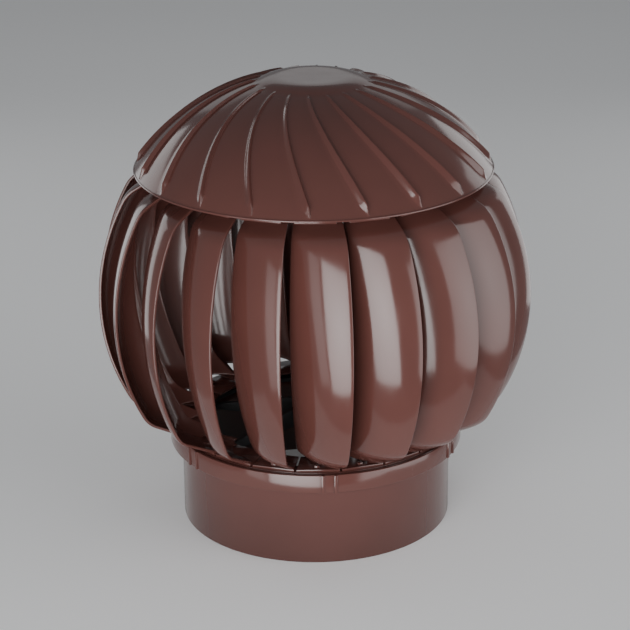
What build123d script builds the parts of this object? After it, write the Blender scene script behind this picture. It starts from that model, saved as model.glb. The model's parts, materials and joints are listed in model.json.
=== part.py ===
from build123d import *
import os
from math import asin, cos, degrees, radians, sin, sqrt

# Roof turbine ventilator for the end of a round vent pipe.
# Millimetres and degrees. +Z is up, and the origin is the centre of the collar's bottom rim.
# A fixed collar carries a spider and an upright axle. The rotor hangs on two ball bearings at
# the axle's top: a ribbed cap, a hub, twenty curved blades and the ring that ties their feet.

# ---------------------------------------------------------------- driving sizes
# Collar
pipe_bore_r = 80.5
collar_wall = 2.5
socket_depth = 45.0
ledge_width = 4.5
ledge_thickness = 6.5
shoulder_thickness = 2.4
band_r = 90.2
band_wall = 2.5
band_rise = 9.0
ridge_pairs = 6
ridge_width = 2.0
ridge_height = 0.8
ridge_spacing = 7.5
ridge_angle = 5.0

# Spider in the collar
spider_thickness = 2.5
arm_count = 6
arm_thickness = 3.0
boss_r = 13.0
boss_height = 18.0
arm_drop = 4.0

# Axle and its fasteners
journal_r = 5.0
shaft_r = 6.0
flange_r = 9.5
flange_thickness = 3.0
nut_across_flats = 16.0
nut_height = 8.0
washer_thickness = 1.5
washer_r = 10.0
top_washer_r = 7.2
thread_stick_out = 2.0
pipe_clearance = 1.0

# Ball bearings, sealed, 10 x 26 x 8
bearing_r = 13.0
bearing_height = 8.0
inner_race_r = 7.4
sealed_bore_r = 7.5
bearing_spread = 38.0

# Hub that holds the bearings under the cap
hub_wall = 3.5
hub_shoulder_r = 11.5
hub_flange_r = 31.0
hub_flange_thickness = 3.0
hub_flange_z = 262.0
hub_seat_width = 12.0
end_lip = 3.0

# Globe of blades
blade_count = 20
globe_r = 131.3
globe_z = 143.5
blade_half_height = 67.5
blade_wall = 1.8
blade_span = 16.8
blade_lead = 9.4
head_inset = 12.0
foot_inset = 24.5
middle_inset = 2.7
inset_at_edge = 0.28
lip_slope = 28.0
head_lip = 17.0
foot_lip = 20.5
corner_cut = 5.0
blade_rows = 6
blade_columns = 3

# Tabs that join each blade to the rings
tab_thickness = 1.8
foot_gap_angle = 0.9
head_gap_angle = 2.0
peg_size = 3.0
peg_stand = 1.2
ring_thickness = 2.5
ring_width = 10.0
head_tab_width = 18.0
cap_skirt_width = 4.0

# Cap
cap_rim_r = 107.4
cap_rim_z = 221.9
cap_wall = 2.0
crown_r = 33.0
crown_z = 274.1
crown_rise = 3.3
crown_flat_r = 18.0
dome_bands = 5
rib_count = 20
rib_reach = 0.965
rib_sweep = 21.0
rib_lead = -1.0
rib_width = 6.0
rib_height = 2.0
rib_taper = 0.3
rib_crest = 0.2
rib_end = 1.2
inside_step = 14.0

# Clearances
seat_gap = 0.02
slide_gap = 0.1
hole_gap = 0.2
flat_enough = 1e-9
ring_gap = 1.2
rotor_lift = 4.0

# ---------------------------------------------------------------- sizes that follow
collar_r = pipe_bore_r + collar_wall
throat_r = pipe_bore_r - ledge_width
ledge_top = socket_depth + ledge_thickness
shoulder_z = ledge_top - shoulder_thickness
band_top = ledge_top + band_rise
band_bore_r = band_r - band_wall

spider_top = ledge_top + spider_thickness
axle_bottom = socket_depth + pipe_clearance
lower_nut_z = axle_bottom + thread_stick_out
boss_bottom = lower_nut_z + nut_height + washer_thickness
boss_top = boss_bottom + boss_height

ring_r = band_bore_r - ring_gap
ring_bottom = spider_top + rotor_lift
ring_top = ring_bottom + ring_thickness
ring_bore_r = ring_r - ring_width
foot_peg_r = (ring_r + ring_bore_r) / 2

upper_bearing_z = hub_flange_z - end_lip - bearing_height
lower_bearing_z = upper_bearing_z - bearing_spread - bearing_height
hub_r = bearing_r + hub_wall
hub_bottom = lower_bearing_z - end_lip

top_nut_z = upper_bearing_z + bearing_height + washer_thickness
axle_top = top_nut_z + nut_height + thread_stick_out

corner_angle = degrees(asin(blade_half_height / globe_r))
corner_r = globe_r * cos(radians(corner_angle))
head_z = globe_z + blade_half_height + head_lip * sin(radians(lip_slope))
head_tab_r = corner_r - head_lip * cos(radians(lip_slope)) + tab_thickness
head_tab_z = head_z - tab_thickness / 2
head_peg_r = head_tab_r - head_tab_width + cap_skirt_width

# The dome is the sphere through the cap's rim and the edge of its crown.
dome_z = (crown_z**2 - cap_rim_z**2 + crown_r**2 - cap_rim_r**2) / (2 * (crown_z - cap_rim_z))
dome_r = sqrt(crown_r**2 + (crown_z - dome_z) ** 2)

Z_UP = Axis.Z


# ---------------------------------------------------------------- helpers
def turned(points):
    """Solid of revolution about Z from a closed outline of (radius, height) points."""
    with BuildPart() as part:
        with BuildSketch(Plane.XZ):
            with BuildLine():
                Polyline(*points, close=True)
            make_face()
        revolve(axis=Z_UP)
    return part.part


def tube(inner_r, outer_r, bottom, top):
    """Plain ring or sleeve about Z."""
    return turned([(inner_r, bottom), (outer_r, bottom), (outer_r, top), (inner_r, top)])


def rod(radius, bottom, top):
    """Plain round bar about Z."""
    return turned([(0, bottom), (radius, bottom), (radius, top), (0, top)])


def flat_tab(inner_r, outer_r, bottom, top, start, end):
    """Flat plate with straight edges between two radii and two angles about Z."""
    low, high = radians(start), radians(end)
    corners = [(inner_r, low), (outer_r, low), (outer_r, high), (inner_r, high)]
    with BuildPart() as part:
        with BuildSketch(Plane.XY.offset(bottom)):
            with BuildLine():
                Polyline(*[(r * cos(a), r * sin(a)) for r, a in corners], close=True)
            make_face()
        extrude(amount=top - bottom)
    return part.part


def faceted(sections):
    """Solid through closed rows of points, each square between two rows split into flat triangles."""
    faces = []
    for row, after in zip(sections, sections[1:]):
        for i in range(len(row)):
            corners = [row[i - 1], row[i], after[i], after[i - 1]]
            square_to = (corners[1] - corners[0]).cross(corners[3] - corners[0]).normalized()
            is_flat = abs(square_to.dot(corners[2] - corners[0])) < flat_enough
            outlines = [corners] if is_flat else [corners[:3], corners[2:] + corners[:1]]
            faces += [Face(Wire.make_polygon(outline, close=True)) for outline in outlines]
    faces += [Face(Wire.make_polygon(row, close=True)) for row in (sections[0], sections[-1])]
    return Solid(Shell(faces))


def around(shape, count, first=0.0):
    """Copies of a shape, evenly spaced about Z."""
    return [shape.rotate(Z_UP, first + 360 * i / count) for i in range(count)]


def joined(shape, others):
    """One shape made of the first and all the others."""
    return shape.fuse(*others) if others else shape


def front_angle(angle):
    """Turn an angle counted from the front, -Y, towards +X, into one counted from +X."""
    return angle - 90


def hex_nut(bore_r, bottom, height):
    """Hexagon nut about Z."""
    with BuildPart() as part:
        with BuildSketch(Plane.XY.offset(bottom)):
            RegularPolygon(nut_across_flats / 2, 6, major_radius=False)
            Circle(bore_r, mode=Mode.SUBTRACT)
        extrude(amount=height)
    return part.part


# ---------------------------------------------------------------- fixed part
def make_collar():
    """Pipe socket with its stop ledge, and the ridged band that shields the rotor's ring."""
    body = turned(
        [
            (pipe_bore_r, 0),
            (collar_r, 0),
            (collar_r, shoulder_z),
            (band_r, shoulder_z),
            (band_r, band_top),
            (band_bore_r, band_top),
            (band_bore_r, ledge_top),
            (throat_r, ledge_top),
            (throat_r, socket_depth),
            (pipe_bore_r, socket_depth),
        ]
    )
    ridge_depth = ridge_height + band_wall / 2
    ridge = Pos(band_r + ridge_height - ridge_depth / 2, 0, (shoulder_z + band_top) / 2) * Box(
        ridge_depth, ridge_width, band_top - shoulder_z
    )
    half_step = degrees(ridge_spacing / band_r) / 2
    ridges = []
    for side in (-half_step, half_step):
        ridges += around(ridge, ridge_pairs, front_angle(ridge_angle) + side)
    return joined(body, ridges)


def make_spider():
    """Ring on the collar's ledge, with tapered arms in to the boss that holds the axle."""
    ring = tube(throat_r, band_bore_r - hole_gap, ledge_top, spider_top)
    boss = rod(boss_r, boss_bottom, boss_top)
    arm_end = throat_r - hole_gap
    with BuildPart() as arm:
        with BuildSketch(Plane.XZ):
            with BuildLine():
                Polyline(
                    (boss_r / 2, boss_bottom),
                    (boss_r, boss_bottom),
                    (arm_end, ledge_top),
                    (throat_r + ledge_width / 2, ledge_top),
                    (throat_r + ledge_width / 2, spider_top),
                    (arm_end, spider_top),
                    (boss_r / 2, boss_top - arm_drop),
                    close=True,
                )
            make_face()
        extrude(amount=arm_thickness / 2, both=True)
    body = joined(ring, [boss] + around(arm.part, arm_count, front_angle(ridge_angle)))
    return body.cut(rod(journal_r + seat_gap, boss_bottom, boss_top))


def make_axle():
    """Stepped steel axle: clamped in the boss below, with a journal for the bearings above."""
    return turned(
        [
            (0, axle_bottom),
            (journal_r, axle_bottom),
            (journal_r, boss_top),
            (flange_r, boss_top),
            (flange_r, boss_top + flange_thickness),
            (shaft_r, boss_top + flange_thickness),
            (shaft_r, lower_bearing_z),
            (journal_r, lower_bearing_z),
            (journal_r, axle_top),
            (0, axle_top),
        ]
    )


def make_axle_washer():
    """Washer under the spider's boss."""
    return tube(journal_r + slide_gap, washer_r, boss_bottom - washer_thickness, boss_bottom)


def make_axle_nut():
    """Nut that clamps the axle in the boss."""
    return hex_nut(journal_r + seat_gap, lower_nut_z, nut_height)


def make_top_washer():
    """Small washer that bears on the upper bearing's inner race alone."""
    bottom = upper_bearing_z + bearing_height
    return tube(journal_r + slide_gap, top_washer_r, bottom, bottom + washer_thickness)


def make_top_nut():
    """Nut that clamps both inner races and their spacer on the axle."""
    return hex_nut(journal_r + seat_gap, top_nut_z, nut_height)


def make_race_spacer():
    """Sleeve on the axle between the two inner races."""
    return tube(journal_r + slide_gap, top_washer_r, lower_bearing_z + bearing_height, upper_bearing_z)


def make_inner_race(bottom):
    """Inner ring of one bearing, fixed on the axle."""
    return tube(journal_r + seat_gap, inner_race_r, bottom, bottom + bearing_height)


# ---------------------------------------------------------------- bearings on the rotor
def make_outer_race(bottom):
    """Outer ring of one bearing with the seals that close it, pressed into the hub."""
    return tube(sealed_bore_r, bearing_r, bottom, bottom + bearing_height)


# ---------------------------------------------------------------- rotor
def make_hub():
    """Flanged bearing tube under the cap, bored from both ends to an inner shoulder."""
    bore_r = bearing_r + seat_gap
    return turned(
        [
            (hub_shoulder_r, lower_bearing_z + bearing_height),
            (bore_r, lower_bearing_z + bearing_height),
            (bore_r, hub_bottom),
            (hub_r, hub_bottom),
            (hub_r, hub_flange_z - hub_flange_thickness),
            (hub_flange_r, hub_flange_z - hub_flange_thickness),
            (hub_flange_r, hub_flange_z),
            (bore_r, hub_flange_z),
            (bore_r, upper_bearing_z),
            (hub_shoulder_r, upper_bearing_z),
        ]
    )


def make_lower_ring():
    """Flat ring that ties the blades' feet, with a square peg for each foot."""
    ring = tube(ring_bore_r, ring_r, ring_bottom, ring_top)
    peg_top = ring_top + tab_thickness + peg_stand
    peg = Pos(foot_peg_r, 0, (ring_bottom + peg_top) / 2) * Box(peg_size, peg_size, peg_top - ring_bottom)
    return joined(ring, around(peg, blade_count, front_angle(blade_lead - 180 / blade_count)))


def blade_inset(across, up):
    """How far the blade has curled in, at a share across its span and a share of its height."""
    full = foot_inset + (head_inset - foot_inset) * up + middle_inset * 4 * up * (1 - up)
    return full * (inset_at_edge * across + (1 - inset_at_edge) * across**2)


def lip_point(side, along):
    """Point on a lip's outer line, (radius, height), side +1 at the head and -1 at the foot."""
    slope = radians(lip_slope)
    return corner_r - along * cos(slope), side * (blade_half_height + along * sin(slope))


def blade_outline():
    """Outer line of the blade's section, foot to head, in radius and height above the equator."""
    reach = corner_angle - degrees(corner_cut / globe_r)
    angles = [reach * (2 * i / blade_rows - 1) for i in range(blade_rows + 1)]
    arc = [(globe_r * cos(radians(a)), globe_r * sin(radians(a))) for a in angles]
    foot = [lip_point(-1, foot_lip), lip_point(-1, corner_cut)]
    return foot + arc + [lip_point(1, corner_cut), lip_point(1, head_lip)]


def neck_outline():
    """Outer line of the neck that runs from the foot's lip down into the foot's tab."""
    return [(ring_r - blade_wall, ring_top + tab_thickness / 2 - globe_z), lip_point(-1, foot_lip - blade_wall)]


def thick_outline(line, wall):
    """Closed outline between a line and the same line moved in square to itself by wall."""
    inner = []
    for i, (r, z) in enumerate(line):
        before = line[max(i - 1, 0)]
        after = line[min(i + 1, len(line) - 1)]
        run_r, run_z = after[0] - before[0], after[1] - before[1]
        length = sqrt(run_r**2 + run_z**2)
        inner.append((r - wall * run_z / length, z + wall * run_r / length))
    return line + inner[::-1]


def blade_strip(line, last_across, columns):
    """Solid between upright sections of the blade, from its outer edge to a share across it."""
    total = 2 * blade_half_height
    chord = blade_span * radians(1) * globe_r
    wall = blade_wall / cos(sqrt(head_inset * foot_inset) / chord)
    sections = []
    for j in range(columns + 1):
        across = last_across * j / columns
        angle = radians(-blade_span * across)
        points = []
        for r, z in thick_outline(line, wall):
            up = z / total + 0.5
            radius = r - blade_inset(across, up)
            points.append(Vector(radius * cos(angle), radius * sin(angle), z + globe_z))
        sections.append(points)
    return faceted(sections)


def make_blade():
    """One blade with its outer edge over +X: curved panel, head and foot lips, neck and tabs."""
    panel = blade_strip(blade_outline(), 1.0, blade_columns)
    neck = blade_strip(neck_outline(), 1 / blade_columns, 1)
    pitch = 360 / blade_count
    foot = flat_tab(ring_bore_r, ring_r, ring_top, ring_top + tab_thickness, foot_gap_angle - pitch, 0)
    head = flat_tab(
        head_tab_r - head_tab_width,
        head_tab_r,
        head_tab_z,
        head_tab_z + tab_thickness,
        head_gap_angle - pitch,
        -head_gap_angle,
    )
    slot = Box(peg_size + 2 * slide_gap, peg_size + 2 * slide_gap, 3 * tab_thickness)
    foot_slot = (Pos(foot_peg_r, 0, ring_top + tab_thickness / 2) * slot).rotate(Z_UP, -pitch / 2)
    head_slot = (Pos(head_peg_r, 0, head_tab_z + tab_thickness / 2) * slot).rotate(Z_UP, -pitch / 2)
    return joined(panel, [neck, foot, head]).cut(foot_slot, head_slot)


def dome_point(radius, depth=0.0):
    """Height of the cap's dome over a radius, on a sphere moved in by depth."""
    return dome_z + sqrt((dome_r - depth) ** 2 - radius**2)


def dome_row(radius, height, rib_size):
    """Points round the dome at one radius, four to each rib: its steep foot, crest, gentle foot, and floor."""
    share = (radius - crown_r) / (cap_rim_r * rib_reach - crown_r)
    turn = rib_sweep * (min(max(share, 0), 1) - 1)
    slope = radius / dome_r
    points = []
    for i in range(rib_count):
        first = radians(turn - 360 * i / rib_count)
        across = rib_width * max(rib_size, rib_taper) / radius
        step = (radians(360 / rib_count) - across) / 2
        lifted = rib_height * rib_size
        for angle, lift in ((0, 0), (-across * rib_crest, lifted), (-across, 0), (-across - step, 0)):
            r = radius + lift * slope
            around_z = first + angle
            points.append(Vector(r * cos(around_z), r * sin(around_z), height + lift * sqrt(1 - slope**2)))
    return points


def inside_rows(start_r, foot_r, foot_width, foot_z):
    """Rows in along the underside of the dome from start_r, and down round the foot of a ring under it."""
    under_r = dome_r - cap_wall
    first = asin(start_r / under_r)
    last = asin(foot_r / under_r)
    steps = max(round(degrees(first - last) / inside_step), 1)
    radii = [under_r * sin(first + (last - first) * i / steps) for i in range(steps + 1)]
    rows = [dome_row(radius, dome_point(radius, cap_wall), 0) for radius in radii]
    return rows + [dome_row(radius, foot_z, 0) for radius in (foot_r, foot_r - foot_width)]


def make_cap():
    """Dome with swirl ribs and a crown, and under it the hub's seat and the blades' skirt."""
    crown_top = crown_z + crown_rise
    rows = [
        dome_row(crown_flat_r, crown_top, 0),
        dome_row((crown_flat_r + crown_r) / 2, crown_top - crown_rise * 0.25, 0),
        dome_row(crown_r - crown_rise / 2, crown_top - crown_rise * 0.6, 0),
        dome_row(crown_r, crown_z, 0),
    ]
    end_r = cap_rim_r * rib_reach
    start = asin((crown_r + rib_end) / dome_r)
    stop = asin(end_r / dome_r)
    for i in range(dome_bands + 1):
        share = i / dome_bands
        radius = dome_r * sin(start + (stop - start) * share)
        rows.append(dome_row(radius, dome_point(radius), rib_taper + (1 - rib_taper) * share))
    rows.append(dome_row(end_r + rib_end, dome_point(end_r + rib_end), 0))
    rows.append(dome_row(cap_rim_r, cap_rim_z, 0))
    inner_r = cap_rim_r - cap_wall
    skirt_outer = head_peg_r + cap_skirt_width / 2
    skirt_bottom = head_tab_z + tab_thickness
    seat_inner = hub_flange_r - hub_seat_width
    rows.append(dome_row(inner_r, cap_rim_z, 0))
    rows += inside_rows(inner_r, skirt_outer, cap_skirt_width, skirt_bottom)
    rows += inside_rows(skirt_outer - cap_skirt_width, hub_flange_r, hub_seat_width, hub_flange_z)
    rows.append(dome_row(seat_inner, dome_point(seat_inner, cap_wall), 0))
    shell = faceted([[point.rotate(Z_UP, front_angle(rib_lead)) for point in row] for row in rows])
    peg_bottom = head_tab_z - peg_stand
    peg = Pos(head_peg_r, 0, (peg_bottom + skirt_bottom) / 2 + peg_size / 2) * Box(
        peg_size, peg_size, skirt_bottom - peg_bottom + peg_size
    )
    pegs = around(peg, blade_count, front_angle(blade_lead - 180 / blade_count))
    return joined(shell, pegs)


# ---------------------------------------------------------------- write the parts
def main():
    """Build every piece and write each to its own file."""
    pieces = {
        "collar": make_collar(),
        "spider": make_spider(),
        "axle": make_axle(),
        "axle_washer": make_axle_washer(),
        "axle_nut": make_axle_nut(),
        "lower_bearing_inner_race": make_inner_race(lower_bearing_z),
        "race_spacer": make_race_spacer(),
        "upper_bearing_inner_race": make_inner_race(upper_bearing_z),
        "top_washer": make_top_washer(),
        "top_nut": make_top_nut(),
        "lower_bearing_outer_race": make_outer_race(lower_bearing_z),
        "upper_bearing_outer_race": make_outer_race(upper_bearing_z),
        "hub": make_hub(),
        "lower_ring": make_lower_ring(),
        "cap": make_cap(),
    }
    blades = around(make_blade(), blade_count, front_angle(blade_lead))
    for number, blade in enumerate(blades, start=1):
        pieces[f"blade_{number:02d}"] = blade
    os.makedirs("parts", exist_ok=True)
    for name, piece in pieces.items():
        export_step(piece, f"parts/{name}.step")


main()
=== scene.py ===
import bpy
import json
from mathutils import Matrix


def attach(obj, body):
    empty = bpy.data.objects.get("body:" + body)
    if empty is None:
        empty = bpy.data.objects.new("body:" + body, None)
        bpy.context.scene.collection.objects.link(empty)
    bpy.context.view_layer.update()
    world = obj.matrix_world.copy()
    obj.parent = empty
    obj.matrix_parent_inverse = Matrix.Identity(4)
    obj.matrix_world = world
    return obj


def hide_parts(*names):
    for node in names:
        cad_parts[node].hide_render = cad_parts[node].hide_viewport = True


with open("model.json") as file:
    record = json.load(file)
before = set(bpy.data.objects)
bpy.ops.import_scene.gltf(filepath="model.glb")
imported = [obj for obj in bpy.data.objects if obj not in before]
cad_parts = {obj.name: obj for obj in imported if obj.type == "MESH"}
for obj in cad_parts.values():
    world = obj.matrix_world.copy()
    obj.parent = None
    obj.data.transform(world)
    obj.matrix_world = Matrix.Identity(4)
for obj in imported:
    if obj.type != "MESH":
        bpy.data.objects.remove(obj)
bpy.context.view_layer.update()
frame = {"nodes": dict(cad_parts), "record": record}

import json
import logging
from dataclasses import dataclass
from enum import Enum
from math import asin, atan2, cos, pi, radians, sin, sqrt, tan
from typing import Callable, ClassVar, Sequence

import bpy
from mathutils import Matrix, Vector

# Looks of a roof turbine ventilator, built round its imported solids.
# Metres and radians, in the solids' frame: +Z is up, -Y is the front, and the origin is the centre of
# the collar's bottom rim. Angles run counter-clockwise seen from above, from +X.

log = logging.getLogger("ventilator")

MM = 0.001
BLADE_COUNT = 20
SPIDER_ARMS = 6
PITCH = 2 * pi / BLADE_COUNT
FRONT = -pi / 2
AXIS_HOLE_R = 0.05 * MM
POLE_R = 1.0 * MM
RIM_STEP = 0.3 * MM
PEG_SIZE = 3.0 * MM
PEG_ROUNDING = 0.3 * MM
WAVES_PER_UNIT = 20
MERGE_DISTANCE = 0.5e-6

Piece = bpy.types.Object
Socket = bpy.types.NodeSocket
Point = tuple[float, float, float]
Pair = tuple[float, float]
Outline = list[Pair]


class Body(str, Enum):
    """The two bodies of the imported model."""

    BASE = "base"
    ROTOR = "rotor"


class Slot(str, Enum):
    """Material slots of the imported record."""

    BROWN_PLASTIC = "brown_plastic"
    BLACK_PLASTIC = "black_plastic"
    PLAIN_STEEL = "plain_steel"
    ZINC_STEEL = "zinc_steel"
    BEARING_STEEL = "bearing_steel"


# ---- finishes ----
class Graph:
    """A material's nodes round one shader, with short ways to add and link them."""

    def __init__(self, name: str, metallic: float = 0.0, ior: float = 1.5) -> None:
        """Start a material that holds its shader and its output.

        Args:
            name: The material's name.
            metallic: 1 for bare metal, 0 for the rest.
            ior: Index of refraction.
        """
        self.material = bpy.data.materials.new(name)
        self.material.use_nodes = True
        self.tree = self.material.node_tree
        self.tree.nodes.clear()
        self.shader = self.node("ShaderNodeBsdfPrincipled")
        self.link(self.shader.outputs["BSDF"], self.node("ShaderNodeOutputMaterial").inputs["Surface"])
        self.fix("Metallic", metallic)
        self.fix("IOR", ior)

    def node(self, kind: str, **settings: object) -> bpy.types.Node:
        """Add a node.

        Args:
            kind: Blender's name for the node type.
            settings: Properties of the node by name.

        Returns:
            The new node.
        """
        made = self.tree.nodes.new(kind)
        for key, value in settings.items():
            setattr(made, key, value)
        return made

    def link(self, source: Socket, target: Socket) -> None:
        """Join an output socket to an input socket."""
        self.tree.links.new(source, target)

    def fix(self, name: str, value: float | Sequence[float]) -> None:
        """Set one of the shader's inputs to a value."""
        self.shader.inputs[name].default_value = value

    def drive(self, name: str, source: Socket) -> None:
        """Join a pattern to one of the shader's inputs."""
        self.link(source, self.shader.inputs[name])

    def place(self, stretch: Point = (1.0, 1.0, 1.0)) -> Socket:
        """Read Object coordinates.

        Args:
            stretch: Factors along X, Y and Z. A small factor draws a pattern out along that axis.

        Returns:
            The coordinates' socket.
        """
        mapping = self.node("ShaderNodeMapping")
        mapping.inputs["Scale"].default_value = stretch
        self.link(self.node("ShaderNodeTexCoord").outputs["Object"], mapping.inputs["Vector"])
        return mapping.outputs["Vector"]

    def noise(self, size: float, detail: float, stretch: Point = (1.0, 1.0, 1.0)) -> Socket:
        """Add a cloudy pattern from 0 to 1.

        Args:
            size: Size of one cloud in metres.
            detail: Number of finer layers on top.
            stretch: Factors along X, Y and Z, as for place.

        Returns:
            The pattern's socket.
        """
        made = self.node("ShaderNodeTexNoise")
        made.inputs["Scale"].default_value = 1.0 / size
        made.inputs["Detail"].default_value = detail
        self.link(self.place(stretch), made.inputs["Vector"])
        return made.outputs["Fac"]

    def spread(self, source: Socket, low: float, high: float, start: float = 0.3, end: float = 0.7) -> Socket:
        """Map the stretch of a pattern from start to end onto low to high, and hold it outside.

        Args:
            source: The pattern.
            low: Value at start.
            high: Value at end.
            start: Pattern value where the change begins.
            end: Pattern value where it ends.

        Returns:
            The mapped pattern's socket.
        """
        made = self.node("ShaderNodeMapRange")
        for key, value in (("From Min", start), ("From Max", end), ("To Min", low), ("To Max", high)):
            made.inputs[key].default_value = value
        self.link(source, made.inputs["Value"])
        return made.outputs["Result"]

    def math(self, operation: str, first: Socket, second: Socket) -> Socket:
        """Combine two patterns.

        Args:
            operation: Blender's name for the sum, such as ADD.
            first: One pattern.
            second: The other.

        Returns:
            The outcome's socket.
        """
        made = self.node("ShaderNodeMath", operation=operation)
        self.link(first, made.inputs[0])
        self.link(second, made.inputs[1])
        return made.outputs[0]

    def tint(self, share: Socket, first: Point, second: Point) -> None:
        """Fade the shader's colour between two colours.

        Args:
            share: 0 for the first colour, 1 for the second.
            first: Linear red, green and blue.
            second: Linear red, green and blue.
        """
        made = self.node("ShaderNodeMix", data_type="RGBA")
        sockets = {socket.identifier: socket for socket in (*made.inputs, *made.outputs)}
        sockets["A_Color"].default_value = (*first, 1.0)
        sockets["B_Color"].default_value = (*second, 1.0)
        self.link(share, sockets["Factor_Float"])
        self.drive("Base Color", sockets["Result_Color"])

    def bump(self, height: Socket, depth: float, below: Socket | None = None) -> Socket:
        """Turn a pattern into relief.

        Args:
            height: The pattern.
            depth: How far 1 stands above 0, in metres.
            below: Relief that this one lies on.

        Returns:
            The normals' socket.
        """
        made = self.node("ShaderNodeBump")
        made.inputs["Strength"].default_value = 1.0
        made.inputs["Distance"].default_value = depth
        self.link(height, made.inputs["Height"])
        if below is not None:
            self.link(below, made.inputs["Normal"])
        return made.outputs["Normal"]


def shade(colour: Point, factor: float) -> Point:
    """Multiply a colour by a factor."""
    red, green, blue = colour
    return (red * factor, green * factor, blue * factor)


@dataclass(frozen=True)
class MouldedPlastic:
    """Injection-moulded plastic: near-even colour, fine orange peel and faint flow waves."""

    name: str
    colour: Point
    ior: float = 1.55
    roughness: Pair = (0.11, 0.17)
    cloud_size: float = 45 * MM
    cloud_shades: Pair = (0.94, 1.06)
    peel_size: float = 1.6 * MM
    peel_depth: float = 0.006 * MM
    wave_size: float = 30 * MM
    wave_depth: float = 0.12 * MM
    smear_size: float = 9 * MM
    smear_stretch: Point = (1.0, 1.0, 0.35)
    scuff_size: float = 0.7 * MM
    scuff_stretch: Point = (1.0, 1.0, 0.06)
    scuff_range: Pair = (0.66, 0.78)
    scuff_share: float = 0.12

    def material(self) -> bpy.types.Material:
        """Build the material.

        Returns:
            The material.
        """
        graph = Graph(self.name, ior=self.ior)
        deep, pale = (shade(self.colour, factor) for factor in self.cloud_shades)
        graph.tint(graph.spread(graph.noise(self.cloud_size, 4.0), 0.0, 1.0), deep, pale)
        smear = graph.spread(graph.noise(self.smear_size, 5.0, self.smear_stretch), *self.roughness)
        hair = graph.noise(self.scuff_size, 2.0, self.scuff_stretch)
        scuffs = graph.spread(hair, 0.0, self.scuff_share, *self.scuff_range)
        graph.drive("Roughness", graph.math("ADD", smear, scuffs))
        waves = graph.bump(graph.noise(self.wave_size, 1.0), self.wave_depth)
        graph.drive("Normal", graph.bump(graph.noise(self.peel_size, 2.0), self.peel_depth, below=waves))
        return graph.material


@dataclass(frozen=True)
class FilledNylon:
    """Satin black nylon with the fine grain that its filler leaves."""

    name: str
    colour: Point
    ior: float = 1.53
    roughness: Pair = (0.4, 0.54)
    smear_size: float = 6 * MM
    cloud_size: float = 18 * MM
    cloud_shades: Pair = (0.82, 1.2)
    grain_size: float = 0.5 * MM
    grain_depth: float = 0.02 * MM

    def material(self) -> bpy.types.Material:
        """Build the material.

        Returns:
            The material.
        """
        graph = Graph(self.name, ior=self.ior)
        deep, pale = (shade(self.colour, factor) for factor in self.cloud_shades)
        graph.tint(graph.spread(graph.noise(self.cloud_size, 4.0), 0.0, 1.0), deep, pale)
        graph.drive("Roughness", graph.spread(graph.noise(self.smear_size, 4.0), *self.roughness))
        graph.drive("Normal", graph.bump(graph.noise(self.grain_size, 2.0), self.grain_depth))
        return graph.material


@dataclass(frozen=True)
class TurnedSteel:
    """Bare steel off the lathe: fine rings round the axle and a little staining."""

    name: str
    colour: Point
    roughness: Pair = (0.22, 0.34)
    ring_pitch: float = 0.35 * MM
    ring_depth: float = 0.004 * MM
    ring_wander: float = 1.2
    ring_detail: float = 2.0
    stain_size: float = 12 * MM
    stain_range: Pair = (0.35, 0.8)
    stain_shade: float = 0.78

    def material(self) -> bpy.types.Material:
        """Build the material.

        Returns:
            The material.
        """
        graph = Graph(self.name, metallic=1.0)
        stain = graph.spread(graph.noise(self.stain_size, 5.0), 0.0, 1.0, *self.stain_range)
        graph.tint(stain, self.colour, shade(self.colour, self.stain_shade))
        rings = graph.node("ShaderNodeTexWave", wave_type="BANDS", bands_direction="Z")
        rings.inputs["Scale"].default_value = 1.0 / (self.ring_pitch * WAVES_PER_UNIT)
        rings.inputs["Distortion"].default_value = self.ring_wander
        rings.inputs["Detail"].default_value = self.ring_detail
        graph.link(graph.place(), rings.inputs["Vector"])
        graph.drive("Roughness", graph.spread(rings.outputs["Fac"], *self.roughness, 0.0, 1.0))
        graph.drive("Normal", graph.bump(rings.outputs["Fac"], self.ring_depth))
        return graph.material


@dataclass(frozen=True)
class ZincPlate:
    """Bright zinc on steel: small crystals of slightly different grey and a yellowish bloom."""

    name: str
    colour: Point
    bloom: Point
    roughness: Pair = (0.26, 0.43)
    bloom_size: float = 5 * MM
    bloom_range: Pair = (0.45, 0.75)
    bloom_share: float = 0.6
    crystal_size: float = 0.9 * MM
    crystal_depth: float = 0.006 * MM

    def material(self) -> bpy.types.Material:
        """Build the material.

        Returns:
            The material.
        """
        graph = Graph(self.name, metallic=1.0)
        bloom = graph.spread(graph.noise(self.bloom_size, 4.0), 0.0, self.bloom_share, *self.bloom_range)
        graph.tint(bloom, self.colour, self.bloom)
        cells = graph.node("ShaderNodeTexVoronoi")
        cells.inputs["Scale"].default_value = 1.0 / self.crystal_size
        graph.link(graph.place(), cells.inputs["Vector"])
        graph.drive("Roughness", graph.spread(cells.outputs["Distance"], *self.roughness, 0.0, 1.0))
        graph.drive("Normal", graph.bump(cells.outputs["Distance"], self.crystal_depth))
        return graph.material


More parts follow.
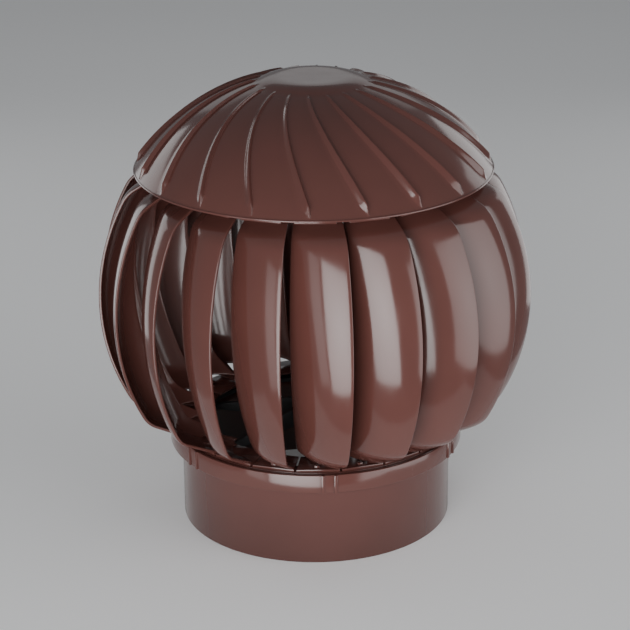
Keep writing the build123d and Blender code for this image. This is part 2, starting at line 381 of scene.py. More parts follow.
@dataclass(frozen=True)
class GroundSteel:
    """Bearing steel, ground and polished, under a film of grease."""

    name: str
    colour: Point
    roughness: Pair = (0.16, 0.3)
    film_size: float = 4 * MM
    film_range: Pair = (0.4, 0.75)
    film_shade: float = 0.72
    grind_size: float = 0.6 * MM
    grind_depth: float = 0.003 * MM
    grind_stretch: Point = (1.0, 1.0, 9.0)

    def material(self) -> bpy.types.Material:
        """Build the material.

        Returns:
            The material.
        """
        graph = Graph(self.name, metallic=1.0)
        film = graph.spread(graph.noise(self.film_size, 4.0), 0.0, 1.0, *self.film_range)
        graph.tint(film, self.colour, shade(self.colour, self.film_shade))
        graph.drive("Roughness", graph.spread(film, *self.roughness, 0.0, 1.0))
        marks = graph.noise(self.grind_size, 3.0, self.grind_stretch)
        graph.drive("Normal", graph.bump(marks, self.grind_depth))
        return graph.material


@dataclass(frozen=True)
class Finishes:
    """Every finish of the ventilator, in the order of the material slots."""

    brown: MouldedPlastic = MouldedPlastic("brown_plastic_moulded", (0.084, 0.031, 0.0255))
    black: FilledNylon = FilledNylon("black_nylon_filled", (0.02, 0.02, 0.021))
    steel: TurnedSteel = TurnedSteel("axle_steel_turned", (0.55, 0.55, 0.56))
    zinc: ZincPlate = ZincPlate("zinc_plate", (0.62, 0.62, 0.6), (0.6, 0.55, 0.42))
    bearing: GroundSteel = GroundSteel("bearing_steel_ground", (0.6, 0.6, 0.62))

    def build(self) -> dict[Slot, bpy.types.Material]:
        """Build the material of each slot."""
        finishes = (self.brown, self.black, self.steel, self.zinc, self.bearing)
        return {slot: finish.material() for slot, finish in zip(Slot, finishes)}


# ---- modelling ----
def select_only(*pieces: Piece) -> None:
    """Select these objects alone and make the first active.

    Args:
        pieces: The objects, or none to select nothing.
    """
    if bpy.context.mode != "OBJECT":
        bpy.ops.object.mode_set(mode="OBJECT")
    bpy.ops.object.select_all(action="DESELECT")
    for piece in pieces:
        piece.select_set(True)
    bpy.context.view_layer.objects.active = pieces[0] if pieces else None


def freeze(piece: Piece) -> None:
    """Move an object's place, turn and size into its mesh."""
    select_only(piece)
    bpy.ops.object.transform_apply(location=True, rotation=True, scale=True)


def named(name: str) -> Piece:
    """Name the active object.

    Args:
        name: Name for the object and its mesh.

    Returns:
        The object.
    """
    piece = bpy.context.object
    piece.name = name
    piece.data.name = name
    return piece


def apply_modifier(piece: Piece, kind: str, **settings: object) -> None:
    """Add a modifier and apply it.

    Args:
        piece: The object.
        kind: Blender's name for the modifier.
        settings: Properties of the modifier by name.
    """
    select_only(piece)
    modifier = piece.modifiers.new(kind.lower(), kind)
    for key, value in settings.items():
        setattr(modifier, key, value)
    bpy.ops.object.modifier_apply(modifier=modifier.name)


def soften(piece: Piece, width: float, segments: int = 2, angle: float = 40.0) -> None:
    """Round to a width, in a number of segments, every edge sharper than an angle in degrees."""
    apply_modifier(piece, "BEVEL", width=width, segments=segments, limit_method="ANGLE",
                   angle_limit=radians(angle), harden_normals=False)


def outwards(piece: Piece) -> None:
    """Merge doubled points and point every face outwards.

    Args:
        piece: The object.
    """
    select_only(piece)
    bpy.ops.object.mode_set(mode="EDIT")
    bpy.ops.mesh.select_all(action="SELECT")
    bpy.ops.mesh.remove_doubles(threshold=MERGE_DISTANCE)
    bpy.ops.mesh.normals_make_consistent(inside=False)
    bpy.ops.object.mode_set(mode="OBJECT")


def join(pieces: Sequence[Piece], crease: float = 32.0) -> Piece:
    """Join objects into the first and shade it smooth.

    Args:
        pieces: The objects.
        crease: Angle in degrees above which an edge stays sharp.

    Returns:
        The first, which now holds them all.
    """
    select_only(*pieces)
    bpy.ops.object.join()
    bpy.ops.object.shade_smooth_by_angle(angle=radians(crease))
    return pieces[0]


def turn_about_axle(piece: Piece, angle: float) -> None:
    """Turn an object's mesh about Z."""
    piece.data.transform(Matrix.Rotation(angle, 4, "Z"))


def shift(piece: Piece, way: Point) -> None:
    """Move an object's mesh."""
    piece.data.transform(Matrix.Translation(way))


def copy_turned(piece: Piece, name: str, angle: float) -> Piece:
    """Copy an object, with its own mesh, turned about Z.

    Args:
        piece: The object.
        name: Name of the copy.
        angle: The turn.

    Returns:
        The copy.
    """
    copy = piece.copy()
    copy.data = piece.data.copy()
    copy.name = name
    copy.data.name = name
    turn_about_axle(copy, angle)
    bpy.context.collection.objects.link(copy)
    return copy


def set_round(piece: Piece, angles: Sequence[float]) -> list[Piece]:
    """Put a copy of an object at each of several angles about Z, and delete the object.

    Args:
        piece: The object, drawn over +X.
        angles: The angles.

    Returns:
        The copies.
    """
    copies = [copy_turned(piece, f"{piece.name}_copy", angle) for angle in angles]
    bpy.data.objects.remove(piece)
    return copies


def turned(name: str, outline: Outline, steps: int, closed: bool = True) -> Piece:
    """Draw a ring out along an outline of (radius, height) points about Z.

    Args:
        name: Name of the piece.
        outline: The points, anticlockwise where the outline is closed.
        steps: Points round the ring.
        closed: Whether the last ring is bridged to the first. If not, both ends are filled.

    Returns:
        The object.
    """
    select_only()
    radius, height = outline[0]
    bpy.ops.mesh.primitive_circle_add(vertices=steps, radius=radius, location=(0, 0, height))
    piece = named(name)
    bpy.ops.object.mode_set(mode="EDIT")
    bpy.ops.mesh.select_all(action="SELECT")
    for next_radius, next_height in outline[1:]:
        ratio = next_radius / radius
        bpy.ops.mesh.extrude_region_move(TRANSFORM_OT_translate={"value": (0, 0, next_height - height)})
        bpy.ops.transform.resize(value=(ratio, ratio, 1), center_override=(0, 0, next_height))
        radius, height = next_radius, next_height
    bpy.ops.mesh.select_all(action="DESELECT")
    bpy.ops.mesh.select_mode(type="VERT")
    bpy.ops.mesh.select_non_manifold()
    if closed:
        bpy.ops.mesh.bridge_edge_loops()
    else:
        bpy.ops.mesh.fill_holes(sides=0)
    bpy.ops.object.mode_set(mode="OBJECT")
    freeze(piece)
    outwards(piece)
    return piece


def block(name: str, low: Point, high: Point) -> Piece:
    """Add a rectangular bar between two corners.

    Args:
        name: Name of the piece.
        low: Its lowest corner.
        high: Its highest corner.

    Returns:
        The object.
    """
    select_only()
    middle = [(a + b) / 2 for a, b in zip(low, high)]
    bpy.ops.mesh.primitive_cube_add(size=1, location=middle)
    piece = named(name)
    piece.scale = [b - a for a, b in zip(low, high)]
    freeze(piece)
    return piece


def sheet(name: str, columns: int, rows: int, surface: Callable[[float, float], Point]) -> Piece:
    """Add a grid and draw it over a surface.

    Args:
        name: Name of the piece.
        columns: Faces across.
        rows: Faces up.
        surface: Gives a point from shares across and up, each from 0 to 1.

    Returns:
        The object.
    """
    select_only()
    bpy.ops.mesh.primitive_grid_add(x_subdivisions=columns, y_subdivisions=rows, size=1)
    piece = named(name)
    for vertex in piece.data.vertices:
        vertex.co = surface(vertex.co.x + 0.5, vertex.co.y + 0.5)
    piece.data.update()
    return piece


def polar(radius: float, angle: float, height: float) -> Point:
    """Point at a radius and an angle about Z."""
    return (radius * cos(angle), radius * sin(angle), height)


def pegs(lead: float, middle: float, low: float, high: float) -> list[Piece]:
    """Model the circle of square pegs that stand through the blades' tabs.

    Args:
        lead: Angle of the first blade's outer edge.
        middle: Radius of the pegs' middles.
        low: Height of their lower ends.
        high: Height of their upper ends.

    Returns:
        The pegs.
    """
    half = PEG_SIZE / 2
    peg = block("peg", (middle - half, -half, low), (middle + half, half, high))
    soften(peg, PEG_ROUNDING)
    return set_round(peg, [lead + (i - 0.5) * PITCH for i in range(BLADE_COUNT)])


# ---- rotor ----
@dataclass(frozen=True)
class Blade:
    """One blade of the globe: curved panel, head and foot lips, neck and tabs."""

    globe_r: float = 131.3 * MM
    globe_z: float = 143.5 * MM
    half_height: float = 67.5 * MM
    wall: float = 1.8 * MM
    span: float = radians(16.8)
    lead: float = radians(9.4)
    head_inset: float = 12.0 * MM
    foot_inset: float = 24.5 * MM
    middle_inset: float = 2.7 * MM
    inset_at_edge: float = 0.28
    lip_slope: float = radians(28.0)
    head_lip: float = 17.0 * MM
    foot_lip: float = 20.5 * MM
    corner: float = 5.5 * MM
    tab_thickness: float = 1.8 * MM
    foot_reach: float = 9.0 * MM
    foot_gap: float = radians(0.9)
    foot_edge: float = 0.3 * MM
    head_gap: float = radians(2.0)
    head_edge: float = 0.8 * MM
    neck_share: float = 1 / 3
    columns: int = 18
    arc_rows: int = 44
    lip_rows: int = 6
    corner_rows: int = 6
    neck_columns: int = 6
    neck_rows: int = 3
    rim_round: float = 0.5 * MM
    rim_segments: int = 3
    rim_crease: float = 60.0

    @property
    def corner_angle(self) -> float:
        """Elevation of the blade's upper corner from the globe's centre."""
        return asin(self.half_height / self.globe_r)

    def lip_point(self, side: int, along: float) -> Pair:
        """Radius and height of a point along the head lip, side 1, or the foot lip, side -1."""
        radius = self.globe_r * cos(self.corner_angle) - along * cos(self.lip_slope)
        return radius, side * (self.half_height + along * sin(self.lip_slope))

    def arc_point(self, angle: float) -> Pair:
        """Radius and height of a point on the globe at an elevation."""
        return self.globe_r * cos(angle), self.globe_r * sin(angle)

    def outline(self) -> Outline:
        """List the panel's outer line from the foot lip's end to the head lip's end.

        Returns:
            Points of radius and height above the globe's middle, with rounded corners.
        """
        reach = self.corner_angle - self.corner / self.globe_r
        foot = [self.lip_point(-1, self.foot_lip - (self.foot_lip - self.corner) * i / self.lip_rows)
                for i in range(self.lip_rows)]
        head = [self.lip_point(1, self.corner + (self.head_lip - self.corner) * (i + 1) / self.lip_rows)
                for i in range(self.lip_rows)]
        arc = [self.arc_point(reach * (2 * i / self.arc_rows - 1)) for i in range(self.arc_rows + 1)]
        lower = self.rounding(self.lip_point(-1, self.corner), self.arc_point(-self.corner_angle), arc[0])
        upper = self.rounding(arc[-1], self.arc_point(self.corner_angle), self.lip_point(1, self.corner))
        return foot + lower + arc + upper + head

    def rounding(self, start: Pair, corner: Pair, end: Pair) -> Outline:
        """Round a corner from start to end, leaving out the end that lies on the globe's arc.

        Args:
            start: First point of the rounding.
            corner: The sharp corner.
            end: Last point of the rounding.

        Returns:
            The points of the rounding.
        """
        points = []
        for i in range(self.corner_rows + 1):
            s = i / self.corner_rows
            points.append(tuple((1 - s) ** 2 * a + 2 * s * (1 - s) * b + s * s * c
                                for a, b, c in zip(start, corner, end)))
        return points[1:] if start[1] > 0 else points[:-1]

    def inset(self, across: float, up: float) -> float:
        """How far the panel has curled in.

        Args:
            across: Share of the span from the outer edge.
            up: Share of the height.

        Returns:
            The distance.
        """
        bow = 4 * up * (1 - up)
        full = self.foot_inset + (self.head_inset - self.foot_inset) * up + self.middle_inset * bow
        return full * (self.inset_at_edge * across + (1 - self.inset_at_edge) * across**2)

    def point(self, across: float, radius: float, height: float) -> Point:
        """Place a point of the outer line, which lies over +X, at a share across the span."""
        up = height / (2 * self.half_height) + 0.5
        return polar(radius - self.inset(across, up), -self.span * across, height + self.globe_z)

    def panel(self) -> Piece:
        """Model the curved panel with its lips.

        Returns:
            The object.
        """
        line = self.outline()
        last = len(line) - 1

        def surface(across: float, up: float) -> Point:
            """Point of the panel at shares across and up."""
            return self.point(1 - across, *line[round(up * last)])

        return self.thicken(sheet("blade_panel", self.columns, last, surface))

    def thicken(self, piece: Piece) -> Piece:
        """Give a sheet the blade's wall, inwards, with rounded rims.

        Args:
            piece: The sheet.

        Returns:
            The object.
        """
        apply_modifier(piece, "SOLIDIFY", thickness=self.wall, offset=-1.0, use_even_offset=True)
        outwards(piece)
        soften(piece, self.rim_round, self.rim_segments, self.rim_crease)
        return piece

    def neck(self, ring: "FootRing") -> Piece:
        """Model the strip that runs on from the foot lip's outer end to the foot tab.

        Args:
            ring: The ring that the foot stands on.

        Returns:
            The object.
        """
        start = self.lip_point(-1, self.foot_lip - self.wall)
        end = (ring.outer_r - self.wall, ring.top + self.tab_thickness / 2 - self.globe_z)

        def surface(across: float, up: float) -> Point:
            """Point of the neck at shares across and up."""
            radius, height = (low + (high - low) * up for low, high in zip(end, start))
            return self.point((1 - across) * self.neck_share, radius, height)

        return self.thicken(sheet("blade_neck", self.neck_columns, self.neck_rows, surface))

    def tab(self, radii: Pair, bottom: float, gaps: Pair, edge: float) -> Piece:
        """Model a flat tab under or over the panel's span.

        Args:
            radii: Radii of its inner edge and its outer corners.
            bottom: Height of its underside.
            gaps: Angles left free at the inner and the outer end of the span.
            edge: Rounding of its edges.

        Returns:
            The object.
        """
        piece = block("blade_tab", (0, 0, bottom), (1, 1, bottom + self.tab_thickness))
        for vertex in piece.data.vertices:
            radius = radii[1] if vertex.co.x > 0.5 else radii[0]
            angle = -gaps[1] if vertex.co.y > 0.5 else gaps[0] - PITCH
            vertex.co = polar(radius, angle, vertex.co.z)
        piece.data.update()
        soften(piece, edge)
        return piece

    def build(self, ring: "FootRing", cap: "Cap") -> Piece:
        """Model one whole blade with its outer edge over +X.

        Args:
            ring: The ring under the feet.
            cap: The cap over the heads.

        Returns:
            The object.
        """
        foot = self.tab((ring.inner_r - self.foot_reach, ring.outer_r), ring.top,
                        (self.foot_gap, 0.0), self.foot_edge)
        head = self.tab((cap.tab_r - cap.tab_width, cap.tab_r), cap.tab_z,
                        (self.head_gap, self.head_gap), self.head_edge)
        return join([self.panel(), self.neck(ring), foot, head])


@dataclass(frozen=True)
class FootRing:
    """Flat ring that ties the blades' feet, with a square peg up through each."""

    inner_r: float = 76.5 * MM
    outer_r: float = 86.5 * MM
    bottom: float = 58.0 * MM
    top: float = 60.5 * MM
    peg_top: float = 63.5 * MM
    rounding: float = 0.35 * MM
    steps: int = 240

    def build(self, lead: float) -> Piece:
        """Model the ring and its pegs.

        Args:
            lead: Angle of the first blade's outer edge.

        Returns:
            The object.
        """
        outline = [(self.inner_r, self.bottom), (self.outer_r, self.bottom),
                   (self.outer_r, self.top), (self.inner_r, self.top)]
        ring = turned("lower_ring_moulded", outline, self.steps)
        soften(ring, self.rounding)
        middle, root = (self.inner_r + self.outer_r) / 2, (self.bottom + self.top) / 2
        return join([ring, *pegs(lead, middle, root, self.peg_top)])


@dataclass(frozen=True)
class Cap:
    """Dome with swirl ribs and a crown, with the hub's seat and the blades' skirt under it."""

    rim_r: float = 107.4 * MM
    rim_z: float = 221.9 * MM
    wall: float = 2.0 * MM
    crown_r: float = 33.0 * MM
    crown_z: float = 274.1 * MM
    crown_rise: float = 3.3 * MM
    crown_flat_r: float = 18.0 * MM
    rib_reach: float = 0.955
    rib_sweep: float = radians(21.0)
    rib_lead: float = radians(-1.0)
    rib_width: float = 5.2 * MM
    rib_height: float = 2.6 * MM
    rib_taper: float = 0.42
    rib_crest: float = 0.2
    rib_end: float = 3.2 * MM
    skirt_width: float = 4.0 * MM
    skirt_bottom: float = 219.88 * MM
    seat_r: float = 31.0 * MM
    seat_width: float = 12.0 * MM
    seat_z: float = 262.0 * MM
    tab_r: float = 99.4 * MM
    tab_z: float = 218.08 * MM
    tab_width: float = 18.0 * MM
    peg_stand: float = 1.2 * MM
    peg_root: float = 225.0 * MM
    crown_shares: tuple[float, ...] = (0.06, 0.4, 0.75, 0.9)
    crown_rows: int = 10
    dome_rows: int = 26
    inside_rows: int = 9
    floor_columns: int = 8
    crease: float = 40.0

    # Shares of a rib's steep side and of its gentle side, each with its share of the height.
    steep_side: ClassVar[Outline] = [(0.0, 0.0), (0.12, 0.05), (0.3, 0.25), (0.7, 0.8), (0.88, 0.96),
                                     (1.0, 1.0)]
    gentle_side: ClassVar[Outline] = [(0.08, 0.985), (0.2, 0.9), (0.4, 0.66), (0.6, 0.42), (0.8, 0.18),
                                      (0.92, 0.05), (1.0, 0.0)]
    # The rim's bead in millimetres: in from the rim's radius and up from its underside.
    bead: ClassVar[Outline] = [(-0.5, 1.3), (-0.12, 1.05), (0.0, 0.75), (0.0, 0.4), (-0.15, 0.1),
                               (-0.45, 0.0)]
    bead_inside: ClassVar[Outline] = [(0.45, 0.0), (0.1, 0.15)]

    @property
    def dome_z(self) -> float:
        """Height of the dome's centre."""
        rise = self.crown_z - self.rim_z
        return (self.crown_z**2 - self.rim_z**2 + self.crown_r**2 - self.rim_r**2) / (2 * rise)

    @property
    def dome_r(self) -> float:
        """Radius of the dome."""
        return sqrt(self.crown_r**2 + (self.crown_z - self.dome_z) ** 2)

    def height(self, radius: float, depth: float = 0.0) -> float:
        """Height of the dome at a radius, on a sphere moved in by a depth."""
        return self.dome_z + sqrt((self.dome_r - depth) ** 2 - radius**2)

    @property
    def peg_r(self) -> float:
        """Radius of the middle of the skirt and of its pegs."""
        return self.tab_r - self.tab_width + self.skirt_width

    @property
    def rib_start(self) -> float:
        """Radius at which the ribs begin, outside the crown."""
        return self.crown_r + self.rib_end

    @property
    def rib_stop(self) -> float:
        """Radius at which the ribs end, inside the rim."""
        return self.rim_r * self.rib_reach

    def rib_section(self, width: float) -> Outline:
        """List one pitch of a ring round the dome, from a rib's steep foot to the next one's.

        Args:
            width: Angle that the rib's two sides cover.

        Returns:
            Points of angle, clockwise from the steep foot, and share of the rib's height.
        """
        crest = self.rib_crest
        steep = [(share * crest * width, lift) for share, lift in self.steep_side]
        gentle = [(width * (crest + (1 - crest) * share), lift) for share, lift in self.gentle_side]
        count = self.floor_columns
        floor = [(width + (PITCH - width) * i / count, 0.0) for i in range(1, count)]
        return steep + gentle + floor

    def rib_size(self, radius: float) -> float:
        """Share of a rib's full size, which grows from the crown to the rim.

        Args:
            radius: Radius on the dome's outside.

        Returns:
            The share, 0 where there is no rib.
        """
        if radius < self.rib_start or radius > self.rib_stop + MERGE_DISTANCE:
            return 0.0
        share = (radius - self.rib_start) / (self.rib_stop - self.rib_start)
        return self.rib_taper + (1 - self.rib_taper) * share

    def outside(self) -> Outline:
        """List the outside's outline from the crown's flat out to the rim.

        Returns:
            Points of radius and height.
        """
        top = self.crown_z + self.crown_rise
        points = [(self.crown_flat_r * share, top) for share in self.crown_shares]
        span = self.crown_r - self.crown_flat_r
        for i in range(self.crown_rows):
            share = i / self.crown_rows
            fall = (1 - cos(share * pi / 2)) / 2 + share**3 / 2
            points.append((self.crown_flat_r + span * share, top - self.crown_rise * fall))
        start, stop = asin(self.rib_start / self.dome_r), asin(self.rib_stop / self.dome_r)
        radii = [self.crown_r]
        for i in range(self.dome_rows + 1):
            radii.append(self.dome_r * sin(start + (stop - start) * i / self.dome_rows))
        radii.append(self.rib_stop + self.rib_end)
        radii.append((self.rib_stop + self.rim_r) / 2 + self.rib_end / 2)
        return points + [(radius, self.height(radius)) for radius in radii]

    def rim(self) -> Outline:
        """List the outline of the rim's small bead, from outside to inside."""
        sides = ((self.rim_r, self.bead), (self.rim_r - self.wall, self.bead_inside))
        return [(radius + run * MM, self.rim_z + rise * MM) for radius, side in sides for run, rise in side]

    def inside(self) -> Outline:
        """List the inside's outline from the rim in to the middle, round the skirt and the seat.

        Returns:
            Points of radius and height.
        """
        skirt_r = self.peg_r + self.skirt_width / 2
        stops = [
            (self.rim_r - self.wall - RIM_STEP, skirt_r, self.skirt_bottom, self.skirt_width),
            (skirt_r - self.skirt_width, self.seat_r, self.seat_z, self.seat_width),
            (self.seat_r - self.seat_width, POLE_R, None, 0.0),
        ]
        points = []
        for start, end, foot, width in stops:
            for i in range(self.inside_rows + 1):
                radius = start + (end - start) * i / self.inside_rows
                points.append((radius, self.height(radius, self.wall)))
            if foot is not None:
                points += [(end, foot), (end - width, foot)]
        return points

    def shell(self) -> Piece:
        """Model the dome as one turned wall and raise the swirl ribs on it.

        Returns:
            The object.
        """
        columns = len(self.rib_section(PITCH / 2))
        outline = self.outside() + self.rim() + self.inside()
        piece = turned("cap_moulded", outline, columns * BLADE_COUNT, closed=False)
        inner = self.crown_r
        for vertex in piece.data.vertices:
            radius = vertex.co.xy.length
            column = round((-atan2(vertex.co.y, vertex.co.x) % (2 * pi)) / PITCH * columns)
            share = min(max((radius - inner) / (self.rib_stop - inner), 0.0), 1.0)
            is_outside = vertex.co.z > self.height(min(radius, self.rim_r), self.wall / 2)
            size = self.rib_size(radius) if is_outside else 0.0
            width = self.rib_width * max(size, self.rib_taper) / max(radius, inner)
            angle, lift = self.rib_section(width)[column % columns]
            turn = self.rib_sweep * (share - 1) - angle - column // columns * PITCH
            slope = radius / self.dome_r
            raised = lift * self.rib_height * size
            height = vertex.co.z + raised * sqrt(1 - min(slope, 1.0) ** 2)
            vertex.co = polar(radius + raised * slope, turn + self.rib_lead + FRONT, height)
        piece.data.update()
        return piece

    def build(self, lead: float) -> Piece:
        """Model the cap and its pegs, where lead is the angle of the first blade's outer edge."""
        pieces = [self.shell(), *pegs(lead, self.peg_r, self.tab_z - self.peg_stand, self.peg_root)]
        return join(pieces, self.crease)


# ---- base ----
@dataclass(frozen=True)
class Collar:
    """Pipe socket with its stop ledge and shoulder, and the ridged band above it."""

    bore_r: float = 80.5 * MM
    wall: float = 2.5 * MM
    socket_depth: float = 45.0 * MM
    throat_r: float = 76.0 * MM
    ledge_top: float = 51.5 * MM
    shoulder_z: float = 49.1 * MM
    band_r: float = 90.2 * MM
    band_bore_r: float = 87.7 * MM
    band_top: float = 60.5 * MM
    ridge_pairs: int = 6
    ridge_width: float = 2.0 * MM
    ridge_height: float = 0.8 * MM
    ridge_spacing: float = 7.5 * MM
    ridge_angle: float = radians(5.0)
    stake_r: float = 81.5 * MM
    stake_head_r: float = 2.6 * MM
    stake_seat: float = 54.0 * MM
    stake_height: float = 1.3 * MM
    stake_shoulder: float = 0.39 * MM
    stake_depth: float = 1.0 * MM
    stake_shares: tuple[float, ...] = (0.85, 0.6, 0.3)
    stake_fall: float = 0.9
    stake_steps: int = 24
    rounding: float = 0.5 * MM
    ridge_rounding: float = 0.3 * MM
    steps: int = 288

    def stakes(self) -> list[Piece]:
        """Model the melted-over post heads that hold the spider's ring down on the ledge.

        Returns:
            The objects.
        """
        radius, seat, low = self.stake_head_r, self.stake_seat, self.stake_seat - self.stake_depth
        outline = [(AXIS_HOLE_R, low), (radius, low), (radius, seat + self.stake_shoulder)]
        for share in self.stake_shares:
            height = self.stake_height * sqrt(1 - self.stake_fall * share**2)
            outline.append((radius * share, seat + height))
        outline.append((AXIS_HOLE_R, seat + self.stake_height))
        head = turned("stake", outline, self.stake_steps)
        shift(head, (self.stake_r, 0, 0))
        step = 2 * pi / SPIDER_ARMS
        return set_round(head, [FRONT + self.ridge_angle + i * step for i in range(SPIDER_ARMS)])

    def build(self) -> Piece:
        """Model the collar.

        Returns:
            The object.
        """
        outline = [
            (self.bore_r, 0), (self.bore_r + self.wall, 0), (self.bore_r + self.wall, self.shoulder_z),
            (self.band_r, self.shoulder_z), (self.band_r, self.band_top), (self.band_bore_r, self.band_top),
            (self.band_bore_r, self.ledge_top), (self.throat_r, self.ledge_top),
            (self.throat_r, self.socket_depth), (self.bore_r, self.socket_depth),
        ]
        body = turned("collar_moulded", outline, self.steps)
        soften(body, self.rounding, segments=3)
        ridge = block("ridge", (self.band_bore_r + self.wall / 2, -self.ridge_width / 2, self.shoulder_z),
                      (self.band_r + self.ridge_height, self.ridge_width / 2, self.band_top))
        soften(ridge, self.ridge_rounding)
        half = self.ridge_spacing / self.band_r / 2
        angles = [FRONT + self.ridge_angle + 2 * pi * pair / self.ridge_pairs + side
                  for pair in range(self.ridge_pairs) for side in (-half, half)]
        return join([body, *set_round(ridge, angles), *self.stakes()])


# ---- fasteners ----
@dataclass(frozen=True)
class Screw:
    """Pan-head screw with a cross recess, its head's seat at the origin, head up."""

    head_r: float = 3.0 * MM
    head_height: float = 2.2 * MM
    shank_r: float = 1.45 * MM
    length: float = 2.4 * MM
    recess_width: float = 0.9 * MM
    recess_length: float = 3.2 * MM
    recess_depth: float = 1.2 * MM
    rounding: float = 0.25 * MM
    steps: int = 28

    # The head's domed outside, as shares of its radius and height.
    dome: ClassVar[Outline] = [(1.0, 0.45), (0.72, 0.9), (0.35, 1.0)]

    def build(self) -> Piece:
        """Model the screw.

        Returns:
            The object.
        """
        shank = [(AXIS_HOLE_R, -self.length), (self.shank_r, -self.length), (self.shank_r, 0)]
        dome = [(self.head_r * out, self.head_height * up) for out, up in self.dome]
        outline = [*shank, (self.head_r, 0), *dome, (AXIS_HOLE_R, self.head_height)]
        piece = turned("screw", outline, self.steps)
        soften(piece, self.rounding, angle=50.0)
        sides = (self.recess_length, self.recess_width)
        for length, width in (sides, sides[::-1]):
            cutter = block("recess", (-length / 2, -width / 2, self.head_height - self.recess_depth),
                           (length / 2, width / 2, 2 * self.head_height))
            apply_modifier(piece, "BOOLEAN", operation="DIFFERENCE", object=cutter, solver="EXACT")
            bpy.data.objects.remove(cutter)
        return piece


@dataclass(frozen=True)
class ScrewCircle:
    """Screws set evenly round the axle, heads down."""

    name: str
    circle_r: float
    seat_z: float
    first: float
    recess_turns: tuple[float, ...]

    def build(self, screw: Screw) -> Piece:
        """Model the circle of screws.

        Args:
            screw: The screw that is set.

        Returns:
            The object.
        """
        one = screw.build()
        one.data.transform(Matrix.Rotation(pi, 4, "X"))
        pieces = []
        for i, recess_turn in enumerate(self.recess_turns):
            copy = copy_turned(one, self.name, recess_turn)
            shift(copy, (self.circle_r, 0, self.seat_z))
            turn_about_axle(copy, self.first + 2 * pi * i / len(self.recess_turns))
            pieces.append(copy)
        bpy.data.objects.remove(one)
        return join(pieces)


# ---- studio ----
@dataclass(frozen=True)
class Softbox:
    """A flat soft lamp that faces the ventilator and that no camera sees.

    Its azimuth and elevation are in degrees, and the azimuth runs from the front towards +X.
    """

    name: str
    azimuth: float
    elevation: float
    distance: float
    width: float
    height: float
    radiance: float
    target_z: float = 0.14
    half_spread: float = radians(60.0)

    def hang(self) -> None:
        """Add the lamp."""
        data = bpy.data.lights.new(self.name, "AREA")
        data.shape = "RECTANGLE"
        data.size = self.width
        data.size_y = self.height
        data.spread = 2 * self.half_spread
        slope = tan(self.half_spread)
        peak = slope / (slope - self.half_spread)
        data.energy = self.radiance * self.width * self.height * pi / peak
        lamp = bpy.data.objects.new(self.name, data)
        turn, rise = radians(self.azimuth), radians(self.elevation)
        target = Vector((0, 0, self.target_z))
        reach = Vector((sin(turn) * cos(rise), -cos(turn) * cos(rise), sin(rise))) * self.distance
        lamp.location = target + reach
        lamp.rotation_euler = (-reach).to_track_quat("-Z", "Y").to_euler()
        lamp.visible_camera = False
        bpy.context.collection.objects.link(lamp)


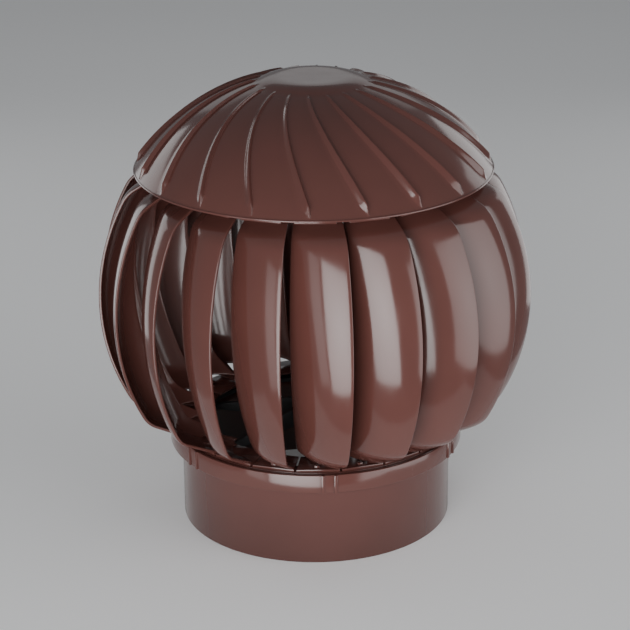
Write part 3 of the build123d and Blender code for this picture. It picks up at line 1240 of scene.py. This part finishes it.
@dataclass(frozen=True)
class Studio:
    """Pale table top, soft lamps round it and the camera."""

    lamps: ClassVar[list[Softbox]] = [
        Softbox("front_softbox", -15.0, -3.0, 0.85, 0.56, 1.0, 8.0),
        Softbox("front_left_softbox", -44.0, -2.0, 0.85, 0.22, 0.9, 1.8),
        Softbox("right_softbox", 62.0, -1.0, 0.95, 1.1, 1.05, 3.3),
        Softbox("back_left_softbox", -132.0, 2.0, 1.1, 0.6, 0.9, 1.9),
        Softbox("back_right_softbox", 136.0, 2.0, 1.1, 0.6, 0.9, 1.8),
        Softbox("back_softbox", 180.0, 25.0, 1.6, 1.4, 0.5, 0.5),
    ]
    table_colour: Point = (0.87, 0.875, 0.88)
    table_tint: float = 1.02
    table_cloud_size: float = 0.6
    table_roughness: float = 0.85
    table_specular: float = 0.2
    front_y: float = -0.18
    back_y: float = 2.6
    front_half_width: float = 0.21
    back_half_width: float = 0.62
    focal_mm: float = 124.4
    sensor_mm: float = 36.0
    view_end: float = 50.0
    camera_place: Point = (0.0001, -1.2432, 0.605)
    camera_pitch: float = radians(21.05)
    camera_roll: float = radians(-0.44)
    table_glow: float = 0.08
    world_colour: Point = (0.95, 0.97, 1.0)
    world_strength: float = 0.24

    def floor(self) -> None:
        """Model the table top, which widens away from the camera."""
        select_only()
        bpy.ops.mesh.primitive_plane_add(size=2, location=(0, 0, 0))
        piece = named("studio_floor")
        for vertex in piece.data.vertices:
            is_back = vertex.co.y > 0
            half = self.back_half_width if is_back else self.front_half_width
            vertex.co = (half * vertex.co.x, self.back_y if is_back else self.front_y, 0)
        graph = Graph("studio_paper")
        clouds = graph.spread(graph.noise(self.table_cloud_size, 2.0), 0.0, 1.0)
        graph.tint(clouds, self.table_colour, shade(self.table_colour, self.table_tint))
        graph.fix("Roughness", self.table_roughness)
        graph.fix("Specular IOR Level", self.table_specular)
        path = graph.node("ShaderNodeLightPath")
        seen = graph.math("MAXIMUM", path.outputs["Is Camera Ray"], path.outputs["Is Glossy Ray"])
        seen = graph.math("MAXIMUM", seen, path.outputs["Is Transmission Ray"])
        graph.fix("Emission Color", (*self.table_colour, 1.0))
        graph.drive("Emission Strength", graph.spread(seen, 0.0, self.table_glow, 0.0, 1.0))
        piece.data.materials.append(graph.material)

    def camera(self) -> None:
        """Add the camera."""
        data = bpy.data.cameras.new("camera")
        data.lens = self.focal_mm
        data.sensor_width = self.sensor_mm
        data.clip_end = self.view_end
        view = bpy.data.objects.new("camera", data)
        view.location = self.camera_place
        pitch = Matrix.Rotation(pi / 2 - self.camera_pitch, 4, "X")
        view.rotation_euler = (pitch @ Matrix.Rotation(self.camera_roll, 4, "Z")).to_euler()
        bpy.context.collection.objects.link(view)
        bpy.context.scene.camera = view

    def world(self) -> None:
        """Light everything evenly and weakly."""
        world = bpy.data.worlds.new("studio_world")
        world.use_nodes = True
        even = world.node_tree.nodes["Background"]
        even.inputs["Color"].default_value = (*self.world_colour, 1.0)
        even.inputs["Strength"].default_value = self.world_strength
        bpy.context.scene.world = world

    def build(self) -> None:
        """Set up the whole studio."""
        self.floor()
        self.camera()
        self.world()
        for lamp in self.lamps:
            lamp.hang()


# ---- the ventilator ----
@dataclass(frozen=True)
class Ventilator:
    """The whole ventilator, built from its sub-assemblies."""

    materials: dict[Slot, bpy.types.Material]

    def dress(self, piece: Piece, slot: Slot) -> None:
        """Give a piece the material of a slot in place of any other."""
        piece.data.materials.clear()
        piece.data.materials.append(self.materials[slot])

    def settle(self, piece: Piece, body: Body, slot: Slot, *nodes: str) -> None:
        """Dress a piece, and tell the frame what it rides on and stands for.

        Args:
            piece: The object.
            body: The body that carries it.
            slot: The record's material slot.
            nodes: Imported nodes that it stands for.
        """
        self.dress(piece, slot)
        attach(piece, body.value)
        if nodes:
            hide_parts(*nodes)
        log.info("%s: %d faces, rides on %s", piece.name, len(piece.data.polygons), body.value)

    def build_rotor(self) -> None:
        """Model the cap, the foot ring and the blades, all of which ride on the rotor."""
        blade, ring, cap = Blade(), FootRing(), Cap()
        lead = FRONT + blade.lead
        self.settle(cap.build(lead), Body.ROTOR, Slot.BROWN_PLASTIC, "cap")
        self.settle(ring.build(lead), Body.ROTOR, Slot.BROWN_PLASTIC, "lower_ring")
        pattern = blade.build(ring, cap)
        for number in range(1, BLADE_COUNT + 1):
            node = f"blade_{number:02d}"
            copy = copy_turned(pattern, f"{node}_moulded", lead + (number - 1) * PITCH)
            self.settle(copy, Body.ROTOR, Slot.BROWN_PLASTIC, node)
        bpy.data.objects.remove(pattern)

    def build_base(self) -> None:
        """Model the collar, which stands on the pipe."""
        self.settle(Collar().build(), Body.BASE, Slot.BROWN_PLASTIC, "collar")

    def build_screws(self) -> None:
        """Model the screws that hold the hub up against the cap."""
        circle = ScrewCircle("hub_screws", circle_r=24.5 * MM, seat_z=259.0 * MM, first=FRONT,
                             recess_turns=(0.35, 1.9, 2.7, 0.9))
        self.settle(circle.build(Screw()), Body.ROTOR, Slot.ZINC_STEEL)

    def dress_nodes(self) -> None:
        """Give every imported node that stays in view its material."""
        for part in frame["record"]["subparts"]:
            self.dress(frame["nodes"][part["node"]], Slot(part["material_slot"]))

    def build(self) -> None:
        """Build everything in order."""
        self.dress_nodes()
        self.build_base()
        self.build_rotor()
        self.build_screws()


def main() -> None:
    logging.basicConfig(level=logging.INFO, format="%(name)s %(message)s")
    Ventilator(Finishes().build()).build()
    Studio().build()


if __name__ == "__main__":
    main()
